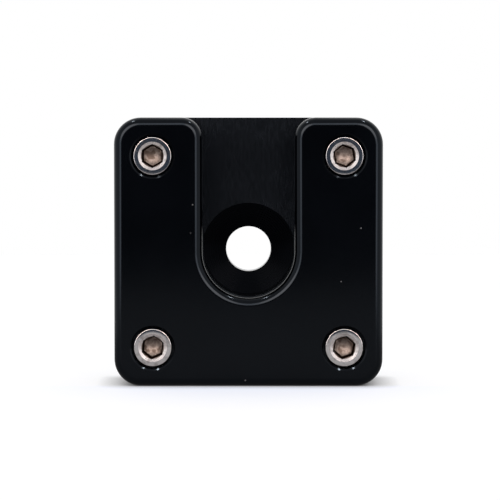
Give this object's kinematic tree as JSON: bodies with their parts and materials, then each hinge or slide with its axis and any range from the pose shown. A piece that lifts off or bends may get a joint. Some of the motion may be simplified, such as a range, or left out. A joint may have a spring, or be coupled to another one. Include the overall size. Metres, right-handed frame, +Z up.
{
  "type": "machined mounting block",
  "caption": "Square machined block with an open U slot, a conical seat round a through bore, and corner cap screws that fasten it to what it stands on.",
  "frame": {"origin": "on the bore's axis, in the plane of the block's back face", "axes": "+Z up, towards the open end of the slot; +Y out of the back face, along the bore; the front face looks along -Y"},
  "size_m": [0.07, 0.0325, 0.07],
  "materials": {
    "mounting_block": "black anodised, fine satin",
    "cap_screws": "bright stainless steel"
  },
  "bodies": {
    "root": {"mounting_block": "mounting_block", "cap_screws": "cap_screws"}
  },
  "joints": []
}
